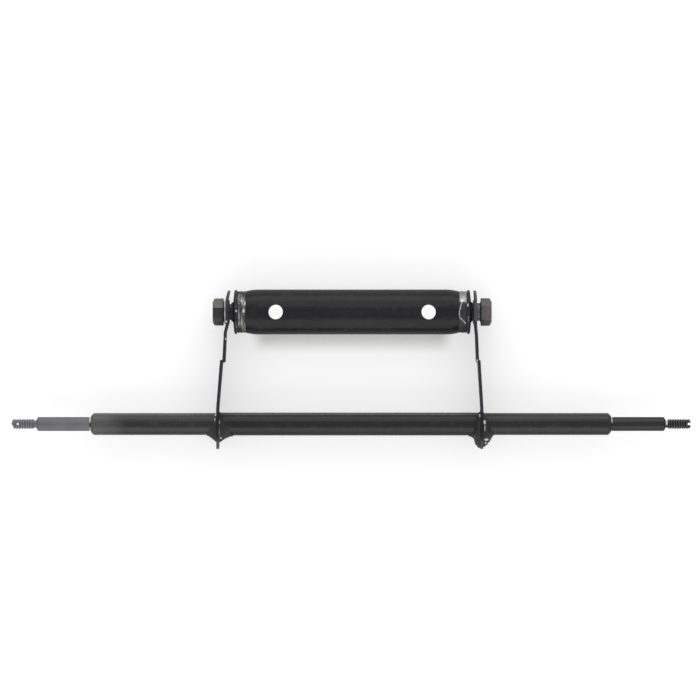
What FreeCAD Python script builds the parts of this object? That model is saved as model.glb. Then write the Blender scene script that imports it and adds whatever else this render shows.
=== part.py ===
import FreeCAD, Part
import math
import os

from FreeCAD import Vector

# A wheel axle carried by two plate arms that swing on the ends of a thick cross tube, the pivot beam.
# Millimetres. X runs along the axle, Y from the axle to the beam, and Z up from the floor that it lies on.
# Sides are called left for -X and right for +X. An offset called s is measured from the middle, outwards.

# Main layout
pivot_to_axle = 112.0  # between the line of the pivot bolts and the axle's own line
beam_offset = 1.2  # the beam group sits this far to the right of the axle's middle
press_clearance = 0.02  # radial, where one piece is pressed on or in another

# Pivot beam: a cross tube with swaged ends
beam_diameter = 45.0
beam_wall = 3.0
beam_length = 213.0
swage_length = 13.0
swage_in = 1.8
mount_hole_diameter = 14.6
mount_hole_spacing = 153.0

# End plugs: spigot in the tube, flange, waisted neck, tapped hole
spigot_clearance = 0.05
spigot_depth = 10.0
plug_weld_width = 8.0
plug_weld_proud = 0.2
plug_weld_crown = 0.6
flange_inset = 0.4
flange_thickness = 4.3
flange_edge_chamfer = 1.1
flange_dish = 1.0
neck_diameter = 18.8
neck_length = 1.9
neck_fillet = 1.6

# Pivot bolts, bushes and washers: the arms sit pushed to the left by their play between neck and head
shoulder_diameter = 16.0
shoulder_length = 7.2
running_clearance = 0.05
left_inner_gap = 1.8
right_inner_gap = 0.2
washer_clearance = 0.05
bolt_thread_diameter = 11.8
tapping_clearance = 0.10
bolt_thread_length = 24.0
bolt_end_chamfer = 1.2
head_across_flats = 24.0
head_height = 11.5
head_chamfer_angle = 30.0
head_face_share = 0.85
head_washer_face = 0.5
left_head_turn = 12.0
right_head_turn = 3.0
bush_wall = 1.0
bush_flange_diameter = 24.0
bush_flange_thickness = 1.0
left_washer_diameter = 24.0
right_washer_diameter = 18.0
washer_edge_chamfer = 0.3

# Swing arms: pressed plates with a flat eye, a slanting web, a sideways step and a flat lower end
arm_thickness = 2.8
eye_inset = 1.0
eye_flat_half = 13.0
arm_tail = 25.0
arm_width = beam_diameter
tail_corner_radius = 14.0
step_height = 62.8
step_lap = 2.4
lower_flat_top = 16.0

# How far each arm leaves its eye's plane: the lip leans in, and the web goes out, bend by bend
left_lip_lean = 2.2
left_bow_drop = 7.0
left_bow_out = 1.8
left_step_above_out = 3.2
left_step_below_out = 5.6
left_lower_out = 9.4
right_lip_lean = 0.8
right_bow_drop = 11.0
right_bow_out = 1.0
right_step_above_out = 2.0
right_step_below_out = 3.4
right_lower_out = 6.3

# Axle shaft with its spindles, relief grooves and threads
axle_length = 679.0
shaft_diameter = 15.0
spindle_diameter = 14.0
spindle_length = 51.9
relief_diameter = 12.4
relief_width = 1.6
thread_diameter = 9.8
thread_length = 22.5
thread_end_chamfer = 1.6
undercut_diameter = 7.2
undercut_width = 3.5
spindle_chamfer_length = 1.8
spindle_chamfer_height = 2.3
pin_hole_diameter = 2.2
pin_hole_from_end = 6.3
end_slot_width = 2.8
end_slot_depth = 2.7

# Tubes pressed on the shaft: a sleeve outside each arm and a centre tube between the arms
sleeve_diameter = 22.0
sleeve_chamfer = 2.9
centre_tube_diameter = 23.0

# Fillet welds of the arms: reach along the tube, height on the thick side, then the flank's points as shares
# of the reach and of the height
weld_proud = 1.0
weld_lip = 0.2
left_inner_weld = (13.6, 7.0, [(0.45, 0.42)])
left_outer_weld = (9.4, 7.1, [(0.5, 0.45)])
right_inner_weld = (11.6, 12.8, [(0.24, 0.9), (0.46, 0.62), (0.6, 0.2)])
right_outer_weld = (10.2, 12.3, [(0.35, 0.8), (0.7, 0.45)])

# Worked out from the sizes above
beam_radius = beam_diameter / 2
lying_height = beam_radius
eye_radius = arm_width / 2 - eye_inset
axle_y = -(pivot_to_axle + beam_radius - arm_tail) / 2
pivot_y = axle_y + pivot_to_axle
beam_end_radius = beam_radius - swage_in
spigot_radius = beam_end_radius - beam_wall - spigot_clearance
weld_start_s = beam_length / 2
flange_start_s = weld_start_s + plug_weld_width
flange_end_s = flange_start_s + flange_thickness
neck_end_s = flange_end_s + neck_length
head_start_s = neck_end_s + shoulder_length
bush_bore_radius = shoulder_diameter / 2 + running_clearance
bush_radius = bush_bore_radius + bush_wall
inner_gap = {-1: left_inner_gap, 1: right_inner_gap}
washer_diameter = {-1: left_washer_diameter, 1: right_washer_diameter}
lip_lean = {-1: left_lip_lean, 1: right_lip_lean}
bow_drop = {-1: left_bow_drop, 1: right_bow_drop}
bow_out = {-1: left_bow_out, 1: right_bow_out}
step_above_out = {-1: left_step_above_out, 1: right_step_above_out}
step_below_out = {-1: left_step_below_out, 1: right_step_below_out}
lower_out = {-1: left_lower_out, 1: right_lower_out}
bush_start_s = {}
eye_inner_s = {}
eye_outer_s = {}
eye_s = {}
lower_s = {}
for side in (-1, 1):
    bush_start_s[side] = neck_end_s + inner_gap[side]
    eye_inner_s[side] = bush_start_s[side] + bush_flange_thickness
    eye_outer_s[side] = eye_inner_s[side] + arm_thickness
    # The beam's offset brings the eye nearer to the axle's middle on one side and further on the other
    eye_s[side] = eye_inner_s[side] + arm_thickness / 2 + side * beam_offset
    lower_s[side] = eye_s[side] + lower_out[side]
shaft_radius = shaft_diameter / 2
tube_bore_radius = shaft_radius + press_clearance
shaft_half = axle_length / 2
spindle_end_s = shaft_half - thread_length - undercut_width
spindle_start_s = spindle_end_s - spindle_length
sleeve_end_s = spindle_start_s - relief_width

os.makedirs("parts", exist_ok=True)
X_AXIS = Vector(1, 0, 0)
Z_AXIS = Vector(0, 0, 1)


def save(shape, name):
    """Write one finished piece."""
    shape.exportStep(f"parts/{name}.step")
    print(name, "solids", len(shape.Solids), "valid", shape.isValid(), "volume", round(shape.Volume, 1))


def lines(points):
    """Straight edges through points of (x, r)."""
    return [
        Part.LineSegment(Vector(*a, 0), Vector(*b, 0)).toShape() for a, b in zip(points, points[1:])
    ]


def arc(start, middle, end):
    """One arc through three points of (x, r)."""
    return Part.Arc(Vector(*start, 0), Vector(*middle, 0), Vector(*end, 0)).toShape()


def turned(edges):
    """A solid turned about the X axis from the closed outline that the edges make."""
    face = Part.Face(Part.Wire(Part.__sortEdges__(edges)))
    return face.revolve(Vector(0, 0, 0), X_AXIS, 360)


def turned_from(points):
    """A solid turned about the X axis from a closed polygon of (x, r) points."""
    return turned(lines(points + points[:1]))


def rod(radius, start, end):
    """A round bar on the X axis between two places."""
    return Part.makeCylinder(radius, end - start, Vector(start, 0, 0), X_AXIS)


def ring(outer, inner, start, end):
    """A plain ring on the X axis."""
    return rod(outer, start, end).cut(rod(inner, start - 1, end + 1))


def mirrored(shape, side):
    """A piece that was drawn for the right, or its mirror image for the left."""
    return shape if side > 0 else shape.mirror(Vector(0, 0, 0), X_AXIS)


def on_pivot(shape, side):
    """Put a piece on the pivot line, on its own side of the beam's middle."""
    return mirrored(shape, side).translated(Vector(beam_offset, pivot_y, lying_height))


def on_axle(shape, side):
    """Put a piece on the axle's line, on its own side of the axle's middle."""
    return mirrored(shape, side).translated(Vector(0, axle_y, lying_height))


def swaged_edge(x_start, r_start, x_end, r_end):
    """An arc that leaves a straight tube wall smoothly and closes in to the tube's end."""
    run = x_end - x_start
    fall = r_start - r_end
    radius = (run**2 + fall**2) / (2 * fall)
    half_turn = math.asin(abs(run) / radius) / 2
    middle_x = x_start + math.copysign(radius * math.sin(half_turn), run)
    middle_r = r_start - radius * (1 - math.cos(half_turn))
    return arc((x_start, r_start), (middle_x, middle_r), (x_end, r_end))


def pivot_tube():
    """The beam's tube: straight wall, ends swaged in, two holes right through for its mounting bolts."""
    straight = beam_length / 2 - swage_length
    end = beam_length / 2
    edges = []
    for wall in (0.0, beam_wall):
        edges += lines([(-straight, beam_radius - wall), (straight, beam_radius - wall)])
        for way in (-1, 1):
            edges.append(swaged_edge(way * straight, beam_radius - wall, way * end, beam_end_radius - wall))
    for way in (-1, 1):
        edges += lines([(way * end, beam_end_radius), (way * end, beam_end_radius - beam_wall)])
    tube = turned(edges)
    for way in (-1, 1):
        place = Vector(way * mount_hole_spacing / 2, 0, -beam_diameter)
        tube = tube.cut(Part.makeCylinder(mount_hole_diameter / 2, 2 * beam_diameter, place, Z_AXIS))
    return tube.translated(Vector(beam_offset, pivot_y, lying_height))


def end_plug():
    """A turned plug: spigot, flange that is dished towards the filleted neck, and a tapped hole."""
    spigot_end = weld_start_s - spigot_depth
    rim = beam_radius - flange_inset
    c = flange_edge_chamfer
    neck = neck_diameter / 2
    face_s = flange_end_s - flange_dish
    fillet_s = flange_end_s + neck_fillet
    sag = neck_fillet * (1 - math.sqrt(0.5))
    edges = lines([
        (flange_end_s, neck + neck_fillet), (face_s, rim - c), (face_s - c, rim), (flange_start_s + c, rim),
        (flange_start_s, rim - c), (flange_start_s, spigot_radius), (spigot_end, spigot_radius),
        (spigot_end, 0), (neck_end_s, 0), (neck_end_s, neck), (fillet_s, neck),
    ])
    edges.append(arc(
        (fillet_s, neck), (flange_end_s + sag, neck + sag), (flange_end_s, neck + neck_fillet)
    ))
    tapped = rod(bolt_thread_diameter / 2 + tapping_clearance, spigot_end - 1, neck_end_s + 1)
    return turned(edges).cut(tapped)


def plug_weld():
    """The crowned bead between the tube's end and the plug's flange."""
    inner = spigot_radius + spigot_clearance
    crown = beam_end_radius + plug_weld_proud
    edge = crown - plug_weld_crown
    middle = (weld_start_s + flange_start_s) / 2
    return turned_from([
        (weld_start_s, edge), (weld_start_s, inner), (flange_start_s, inner), (flange_start_s, edge),
        (middle, crown),
    ])


def pivot_bush(side):
    """A flanged plain bush, pressed in the arm's eye and turning on the bolt's shoulder."""
    start = bush_start_s[side]
    flange = ring(bush_flange_diameter / 2, bush_bore_radius, start, eye_inner_s[side])
    sleeve = ring(bush_radius, bush_bore_radius, start, eye_outer_s[side])
    return flange.fuse(sleeve).removeSplitter()


def pivot_washer(side):
    """What fills the room between the arm and the bolt's head: a wide washer or a thick collar."""
    outer = washer_diameter[side] / 2
    c = washer_edge_chamfer
    start = eye_outer_s[side] + washer_clearance
    end = head_start_s - washer_clearance
    return turned_from([
        (start, bush_bore_radius), (start, outer - c), (start + c, outer),
        (end - c, outer), (end, outer - c), (end, bush_bore_radius),
    ])


def pivot_bolt(head_turn):
    """A shoulder bolt: hexagon head with chamfered corners, plain shoulder, thread into the plug."""
    corner_radius = head_across_flats / math.sqrt(3)
    head_end = head_start_s + head_height
    corners = []
    for k in range(7):
        angle = math.radians(60 * k + head_turn)
        corners.append(Vector(
            head_start_s + head_washer_face, corner_radius * math.cos(angle), corner_radius * math.sin(angle)
        ))
    hexagon = Part.Face(Part.makePolygon(corners)).extrude(X_AXIS * (head_height - head_washer_face))
    blank_radius = corner_radius + 1
    flat_radius = head_face_share * head_across_flats / 2
    cone_run = (blank_radius - flat_radius) * math.tan(math.radians(head_chamfer_angle))
    dome = turned_from([
        (head_start_s, 0), (head_start_s, blank_radius), (head_end - cone_run, blank_radius),
        (head_end, flat_radius), (head_end, 0),
    ])
    washer_face = rod(flat_radius, head_start_s, head_start_s + head_washer_face)
    shoulder = rod(shoulder_diameter / 2, neck_end_s, head_start_s)
    thread = bolt_thread_diameter / 2
    tip = neck_end_s - bolt_thread_length
    shank = turned_from([
        (tip, 0), (tip, thread - bolt_end_chamfer), (tip + bolt_end_chamfer, thread), (neck_end_s, thread),
        (neck_end_s, 0),
    ])
    return hexagon.common(dome).multiFuse([washer_face, shoulder, shank]).removeSplitter()


def arm_section(side):
    """The arm seen from above: (s, y) of its middle line, thickened along s, with the sideways step."""
    eye_bottom = pivot_to_axle - eye_flat_half
    eye = eye_s[side]
    upper = [
        (eye - lip_lean[side], pivot_to_axle + eye_radius + 1),
        (eye, pivot_to_axle + eye_flat_half),
        (eye, eye_bottom),
        (eye + bow_out[side], eye_bottom - bow_drop[side]),
        (eye + step_above_out[side], step_height),
    ]
    lower = [
        (eye + step_below_out[side], step_height),
        (lower_s[side], lower_flat_top),
        (lower_s[side], -arm_tail - 1),
    ]
    half = arm_thickness / 2
    lap = step_lap / 2
    outer = [(s + half, y) for s, y in upper[:-1]]
    outer += [(upper[-1][0] + half, step_height + lap), (lower[0][0] + half, step_height + lap)]
    outer += [(s + half, y) for s, y in lower[1:]]
    inner = [(s - half, y) for s, y in lower[:0:-1]]
    inner += [(lower[0][0] - half, step_height - lap), (upper[-1][0] - half, step_height - lap)]
    inner += [(s - half, y) for s, y in upper[-2::-1]]
    outline = [Vector(s, y, -arm_width) for s, y in outer + inner]
    return Part.Face(Part.makePolygon(outline + outline[:1])).extrude(Vector(0, 0, 2 * arm_width))


def arm_outline(side):
    """The arm seen from its side: a strap with a round eye and a square tail with rounded corners."""
    depth = 2 * lower_out[side] + 4 * arm_thickness
    start = eye_s[side] - depth / 2
    half = arm_width / 2
    eye = Part.makeCylinder(eye_radius, depth, Vector(start, pivot_to_axle, 0), X_AXIS)
    # Each straight side touches the round eye and runs down to the corner of the tail
    drop = pivot_to_axle + arm_tail - tail_corner_radius
    lean = math.asin((half - eye_radius) / drop)
    touch_y = pivot_to_axle + eye_radius * math.sin(lean)
    touch_z = eye_radius * math.cos(lean)
    tail_y = -arm_tail + tail_corner_radius
    corner_y = tail_y - tail_corner_radius * math.sqrt(0.5)
    corner_z = half - tail_corner_radius * (1 - math.sqrt(0.5))
    tail_z = half - tail_corner_radius
    edges = []
    for way in (-1, 1):
        top = Vector(start, touch_y, way * touch_z)
        knee = Vector(start, tail_y, way * half)
        corner = Vector(start, corner_y, way * corner_z)
        foot = Vector(start, -arm_tail, way * tail_z)
        edges += [Part.LineSegment(top, knee).toShape(), Part.Arc(knee, corner, foot).toShape()]
    for y, z in ((-arm_tail, tail_z), (touch_y, touch_z)):
        edges.append(Part.LineSegment(Vector(start, y, -z), Vector(start, y, z)).toShape())
    strap = Part.Face(Part.Wire(Part.__sortEdges__(edges))).extrude(X_AXIS * depth)
    return strap.fuse(eye)


def swing_arm(side):
    """One arm, with a bore for the bush in its eye and a bore for the axle's shaft."""
    arm = arm_section(side).common(arm_outline(side)).removeSplitter()
    near = eye_s[side] - 4 * lower_out[side]
    far = eye_s[side] + 4 * lower_out[side]
    eye_bore = rod(bush_radius + press_clearance, near, far).translated(Vector(0, pivot_to_axle, 0))
    return arm.cut(eye_bore).cut(rod(tube_bore_radius, near, far))


def axle_shaft():
    """One bar: relief grooves, spindles with chamfered ends, undercuts, threads, pin hole and end slot."""
    spindle_radius = spindle_diameter / 2
    half_outline = [
        (sleeve_end_s, shaft_radius), (sleeve_end_s, relief_diameter / 2),
        (spindle_start_s, relief_diameter / 2), (spindle_start_s, spindle_radius),
        (spindle_end_s - spindle_chamfer_length, spindle_radius),
        (spindle_end_s, spindle_radius - spindle_chamfer_height),
        (spindle_end_s, undercut_diameter / 2),
        (spindle_end_s + undercut_width, undercut_diameter / 2),
        (spindle_end_s + undercut_width, thread_diameter / 2),
        (shaft_half - thread_end_chamfer, thread_diameter / 2),
        (shaft_half, thread_diameter / 2 - thread_end_chamfer),
        (shaft_half, 0),
    ]
    shaft = turned_from(half_outline + [(-s, r) for s, r in reversed(half_outline)])
    pin_place = Vector(-shaft_half + pin_hole_from_end, 0, -shaft_diameter)
    shaft = shaft.cut(Part.makeCylinder(pin_hole_diameter / 2, 2 * shaft_diameter, pin_place, Z_AXIS))
    slot_corner = Vector(shaft_half - end_slot_depth, -end_slot_width / 2, -shaft_diameter)
    slot = Part.makeBox(2 * end_slot_depth, end_slot_width, 2 * shaft_diameter, slot_corner)
    return shaft.cut(slot)


def axle_sleeve(side):
    """The tube outside an arm, its outer end coned down to the spindle."""
    start = lower_s[side] + arm_thickness / 2
    outer = sleeve_diameter / 2
    return turned_from([
        (start, tube_bore_radius), (start, outer), (sleeve_end_s - sleeve_chamfer, outer),
        (sleeve_end_s, outer - sleeve_chamfer), (sleeve_end_s, tube_bore_radius),
    ])


def centre_tube():
    """The tube between the arms, from plate to plate."""
    left_end = -lower_s[-1] + arm_thickness / 2
    right_end = lower_s[1] - arm_thickness / 2
    return ring(centre_tube_diameter / 2, tube_bore_radius, left_end, right_end)


def arm_weld(plate_s, tube_diameter, way, reach, height, flank):
    """A fillet weld round the tube on one face of an arm, thick on the side away from the beam.

    It is a flared ring about a line below the tube's own line, less the tube, so it thins out upwards.
    """
    tube_radius = tube_diameter / 2
    drop = (height - weld_proud) / 2
    plate_radius = tube_radius + drop + weld_proud
    lip_radius = tube_radius - drop + weld_lip
    outline = [(0, plate_radius), (0, 0), (reach, 0), (reach, lip_radius)]
    for share, rise in reversed(flank):
        outline.append((share * reach, lip_radius + rise * (plate_radius - lip_radius)))
    flare = turned_from(outline).translated(Vector(0, -drop, 0))
    weld = flare.cut(rod(tube_radius, -1, reach + 1))
    if way < 0:
        weld = weld.mirror(Vector(0, 0, 0), X_AXIS)
    return weld.translated(Vector(plate_s + way * arm_thickness / 2, 0, 0))


sides = {"left": -1, "right": 1}
head_turns = {"left": left_head_turn, "right": right_head_turn}
welds = {
    "left": {"inner": left_inner_weld, "outer": left_outer_weld},
    "right": {"inner": right_inner_weld, "outer": right_outer_weld},
}

save(pivot_tube(), "pivot_tube")
for name, side in sides.items():
    save(on_pivot(end_plug(), side), f"end_plug_{name}")
    save(on_pivot(plug_weld(), side), f"plug_weld_{name}")
    save(on_pivot(pivot_bush(side), side), f"pivot_bush_{name}")
    save(on_pivot(pivot_washer(side), side), f"pivot_washer_{name}")
    save(on_pivot(pivot_bolt(head_turns[name]), side), f"pivot_bolt_{name}")
    save(on_axle(swing_arm(side), side), f"swing_arm_{name}")
    save(on_axle(axle_sleeve(side), side), f"axle_sleeve_{name}")
    for face, (reach, height, flank) in welds[name].items():
        way = -1 if face == "inner" else 1
        tube = centre_tube_diameter if face == "inner" else sleeve_diameter
        weld = arm_weld(lower_s[side], tube, way, reach, height, flank)
        save(on_axle(weld, side), f"arm_weld_{name}_{face}")

save(on_axle(centre_tube(), 1), "axle_centre_tube")
save(on_axle(axle_shaft(), 1), "axle_shaft")
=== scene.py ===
# %% [markdown]
# A wheel axle that hangs on two plate arms from a thick cross tube. All of it is steel: tubes and plates
# under a satin black paint, bare or painted weld beads, brown-grey bolt heads, a bright zinc washer and a
# grey collar. The measured solids come in first and stay where they are. This lesson gives each of them its
# finish, and makes new meshes only for the pieces whose looks need more than a measured solid has: the cut
# threads, the rippled beads and the soft edges of sheared plate and hexagon heads.

# %% The measured solids
import functools
import math
import random

import bpy
from mathutils import Matrix, Vector


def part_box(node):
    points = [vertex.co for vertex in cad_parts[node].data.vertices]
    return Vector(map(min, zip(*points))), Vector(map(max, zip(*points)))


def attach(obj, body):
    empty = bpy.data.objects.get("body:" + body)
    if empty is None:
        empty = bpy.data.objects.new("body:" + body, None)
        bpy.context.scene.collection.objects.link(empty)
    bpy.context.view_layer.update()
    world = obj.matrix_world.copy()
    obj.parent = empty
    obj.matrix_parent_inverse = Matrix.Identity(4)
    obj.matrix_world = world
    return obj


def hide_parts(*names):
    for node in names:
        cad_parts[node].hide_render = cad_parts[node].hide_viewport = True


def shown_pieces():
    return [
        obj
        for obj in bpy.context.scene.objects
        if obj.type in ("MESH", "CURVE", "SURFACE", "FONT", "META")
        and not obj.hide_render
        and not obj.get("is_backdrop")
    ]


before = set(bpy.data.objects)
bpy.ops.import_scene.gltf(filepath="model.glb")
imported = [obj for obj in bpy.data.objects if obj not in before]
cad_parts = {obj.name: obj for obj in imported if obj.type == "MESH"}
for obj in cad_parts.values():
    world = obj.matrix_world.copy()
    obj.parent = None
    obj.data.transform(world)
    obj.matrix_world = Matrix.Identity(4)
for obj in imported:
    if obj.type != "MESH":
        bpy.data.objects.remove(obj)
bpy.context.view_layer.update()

MM = 0.001

# %% [markdown]
# Everything else is placed from a few lines that the solids give: the axle's own line, the line of the two
# pivot bolts, and the middle of the beam. They could be typed in, but reading them from the boxes of the
# solids keeps the new meshes right when a solid changes.

# %% Main lines


def middle(node):
    """The centre of a solid's box."""
    low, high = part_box(node)
    return (low + high) / 2


axle = middle("axle_shaft")
beam = middle("pivot_tube")
beam_radius = (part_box("pivot_tube")[1].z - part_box("pivot_tube")[0].z) / 2
shaft_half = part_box("axle_shaft")[1].x
print("axle line at y", round(axle.y / MM, 2), "pivot line at y", round(beam.y / MM, 2))

# %% [markdown]
# The camera hangs straight over the axle with a long lens, so that the tubes show no slant and the two bolt
# holes can be seen through. A near-flat view like this could also come from an orthographic camera, but a
# long lens keeps the slight opening-up that a real picture has. The frame is 700 mm wide at the height of
# the axle's line, and its centre lies a little towards the beam from the middle of the whole object.

# %% Camera
frame_width = 700 * MM
frame_centre = (-0.95 * MM, 19.25 * MM)
camera_distance = 9000 * MM
camera_data = bpy.data.cameras.new("overhead_camera")
camera_data.sensor_width = 36
camera_data.lens = camera_data.sensor_width * camera_distance / frame_width
camera_data.clip_end = 20
camera = bpy.data.objects.new("overhead_camera", camera_data)
camera.location = (*frame_centre, axle.z + camera_distance)
bpy.context.scene.collection.objects.link(camera)
bpy.context.scene.camera = camera
bpy.context.scene.view_settings.view_transform = "Standard"
print("lens", round(camera_data.lens), "mm")

# %% [markdown]
# Shader maths is easier to read as sums and products than as rows of nodes. The class Wire stands for one
# output socket. Adding or multiplying wires adds the Math node for it, and Finish adds every other node
# through a single method. The alternative is to call nodes.new for each step by hand, which hides the idea
# of a pattern.

# %% Wires and finishes


class Wire:
    """One output socket, which sums and products can be written with."""

    def __init__(self, finish, socket):
        self.finish = finish
        self.socket = socket

    def math(self, operation, first, second):
        return self.finish.node("ShaderNodeMath", {"operation": operation}, {0: first, 1: second})

    def __add__(self, other):
        return self.math("ADD", self, other)

    def __radd__(self, other):
        return self.math("ADD", other, self)

    def __sub__(self, other):
        return self.math("SUBTRACT", self, other)

    def __rsub__(self, other):
        return self.math("SUBTRACT", other, self)

    def __mul__(self, other):
        return self.math("MULTIPLY", self, other)

    def __rmul__(self, other):
        return self.math("MULTIPLY", other, self)

    def __abs__(self):
        return self.math("ABSOLUTE", self, 0)

    def larger(self, other):
        return self.math("MAXIMUM", self, other)

    def root(self):
        return self.math("POWER", self, 0.5)

    def step(self, start, end):
        """A soft step from 0 at start to 1 at end, or the other way when end is below start."""
        settings = {"interpolation_type": "SMOOTHSTEP"}
        if end < start:
            return 1 - self.finish.node("ShaderNodeMapRange", settings, {0: self, 1: end, 2: start})
        return self.finish.node("ShaderNodeMapRange", settings, {0: self, 1: start, 2: end})


class Finish:
    """The nodes of one material or world, with one method that adds any of them."""

    def __init__(self, tree):
        self.tree = tree

    def node(self, kind, settings, sockets, output=0):
        """Add a node, set it up, feed its sockets and give one of its outputs."""
        node = self.tree.nodes.new(kind)
        for name, value in settings.items():
            setattr(node, name, value)
        for key, value in sockets.items():
            self.feed(node.inputs[key], value)
        return Wire(self, node.outputs[output])

    def feed(self, socket, value):
        """Give a socket a link or a constant."""
        if isinstance(value, Wire):
            self.tree.links.new(value.socket, socket)
        else:
            socket.default_value = value

    def mix(self, share, first, second):
        """Blend two colours."""
        settings = {"data_type": "RGBA"}
        return self.node("ShaderNodeMix", settings, {0: share, 6: first, 7: second}, 2)

    def noise(self, place, scale, detail=3.0, roughness=0.55):
        """Cloudy noise from 0 to 1 about 0.5, with scale as the size of one cloud in metres."""
        sockets = {"Vector": place, "Scale": 1 / scale, "Detail": detail, "Roughness": roughness}
        return self.node("ShaderNodeTexNoise", {}, sockets)

    def place(self, stretch=(1, 1, 1), shift=(0, 0, 0)):
        """The point on the object, in metres, drawn out along the axes where stretch is under 1."""
        here = self.node("ShaderNodeTexCoord", {}, {}, "Object")
        return self.node("ShaderNodeMapping", {}, {"Vector": here, "Location": shift, "Scale": stretch})

    def axes(self, centre=(0, 0, 0)):
        """The x, y and z of the point on the object, measured from a centre."""
        moved = self.place(shift=[-c for c in centre])
        split = self.node("ShaderNodeSeparateXYZ", {}, {0: moved}).socket.node
        return [Wire(self, socket) for socket in split.outputs]

    def bump(self, height, distance):
        """A relief of that many metres where height goes from 0 to 1."""
        return self.node("ShaderNodeBump", {}, {"Strength": 1, "Distance": distance, "Height": height})


def new_finish(name, **constants):
    """A material with its Principled shader and its constant values, ready for patterns."""
    material = bpy.data.materials.new(name)
    material.use_nodes = True
    finish = Finish(material.node_tree)
    finish.material = material
    finish.shader = material.node_tree.nodes["Principled BSDF"].inputs
    for socket, value in constants.items():
        finish.shader[socket.replace("_", " ").replace("Ior", "IOR")].default_value = value
    return finish


def wear(piece, material):
    """Give an object one finish."""
    piece.data.materials.clear()
    piece.data.materials.append(material)


print("the words for the finishes are ready")

# %% [markdown]
# The real thing lay on something white in soft daylight. The paint shows what was round it: a dim patch
# straight above, lighter bands towards both long sides, and one small bright lamp that makes the sparks on
# bare metal. So the light here is a dim even world, two long soft strips on either side of the axle, and
# one small lamp high on the far side. Strips alone would leave the beads dull, and a strong lamp alone
# would burn the paint.

# %% Light
lamp_distance = 2.3


def panel(name, tilt, spread, brightness, length=4.2):
    """A soft strip of light along X, tilted in degrees from straight up towards +Y.

    Its spread is the angle that it fills, and its brightness is what a mirror would show.
    """
    data = bpy.data.lights.new(name, "AREA")
    data.shape = "RECTANGLE"
    data.size = length
    data.size_y = 2 * lamp_distance * math.tan(math.radians(spread) / 2)
    data.energy = brightness * math.pi * data.size * data.size_y
    lamp = bpy.data.objects.new(name, data)
    lean = math.radians(tilt)
    lamp.location = (0, lamp_distance * math.sin(lean), lamp_distance * math.cos(lean))
    lamp.rotation_euler = (-lamp.location).to_track_quat("-Z", "Y").to_euler()
    bpy.context.scene.collection.objects.link(lamp)


panel("far_low", 75, 26, 0.92)
panel("far_middle", 51, 22, 0.54)
panel("near_high", -50, 24, 0.75)
panel("near_low", -77, 30, 0.52)
panel("spark_lamp", 33, 2.2, 22, length=0.09)

# %% [markdown]
# The world is a dim grey for the light on the object, and white where the camera looks straight at it. The
# floor is a matt white sheet. It keeps the axle's soft shadow, and a little light of its own, seen only by
# the camera and through glass, lifts it to the white of the backdrop. That light also carries painted light
# and shade: it is strongest where the two bolt holes look down on the sheet, as painted light that whitens
# them, and weak in a strip next to the beam, as a painted shadow that deepens the beam's own shadow there,
# since the beam never moves. A brighter lamp could whiten the sheet too, but it would also burn out the
# paint's highlights.

# %% World and floor
fill_level = 0.46
world = bpy.data.worlds.new("even_world")
world.use_nodes = True
bpy.context.scene.world = world
sky = Finish(world.node_tree)


def seen_directly(finish, *kinds):
    """1 for rays of the given kinds, such as those from the camera, and 0 for the light on things."""
    path = finish.node("ShaderNodeLightPath", {}, {}).socket.node.outputs
    rays = [Wire(finish, path[f"Is {kind} Ray"]) for kind in kinds]
    return functools.reduce(Wire.larger, rays)


background = world.node_tree.nodes["Background"].inputs
background["Color"].default_value = (1, 1, 1, 1)
in_view = seen_directly(sky, "Camera", "Transmission")
sky.feed(background["Strength"], fill_level + (1 - fill_level) * in_view)

bpy.ops.mesh.primitive_plane_add(size=1)
floor = bpy.context.object
floor.name = "floor"
bpy.ops.object.mode_set(mode="EDIT")
bpy.ops.transform.resize(value=(9, 9, 1))
bpy.ops.object.mode_set(mode="OBJECT")
floor_lift = 0.93
plain_light = (0.60, 0.60, 0.60, 1)
painted_shadow_level = (0.27, 0.27, 0.26, 1)
painted_hole_light = (1, 1, 1, 1)
sheet = new_finish("white_sheet", Roughness=0.95)
sheet.feed(sheet.shader["Specular IOR Level"], 0.0)
seen = seen_directly(sheet, "Camera", "Transmission")
grain = sheet.noise(sheet.place(), 180 * MM, 4)
sheet.feed(sheet.shader["Base Color"], sheet.mix(grain, (0.78, 0.785, 0.78, 1), (0.82, 0.82, 0.815, 1)))
x, y, _ = sheet.axes((beam.x, beam.y, 0))
# Two soft-edged zones about the beam's middle: painted light right below its holes, and a painted shadow
# beside it on the shaded side
painted_light_below_holes = abs(x).step(100 * MM, 92 * MM) * abs(y).step(16 * MM, 11 * MM)
painted_shadow_strip = abs(x).step(104 * MM, 86 * MM) * y.step(-44 * MM, -24 * MM) * y.step(-12 * MM, -18 * MM)
weave = 0.75 + 0.5 * sheet.noise(sheet.place(), 5 * MM, 6, 0.7)
own_light = sheet.mix(painted_shadow_strip * weave, plain_light, painted_shadow_level)
sheet.feed(sheet.shader["Emission Color"], sheet.mix(painted_light_below_holes, own_light, painted_hole_light))
sheet.feed(sheet.shader["Emission Strength"], floor_lift * seen)
wear(floor, sheet.material)
floor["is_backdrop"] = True
print("floor and world are set")

# %% [markdown]
# The black paint is a thin satin coat over drawn steel tube. Up close it isn't even: there are faint lines
# along the tube, slow clouds of more and less gloss, grey rubbed dust, and pin-head chips. One function
# makes it, because every painted piece wears the same coat. What differs is what lies on it and where it
# has worn, so each piece can give its own tones and its own mask of bare places.

# %% Black paint


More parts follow.
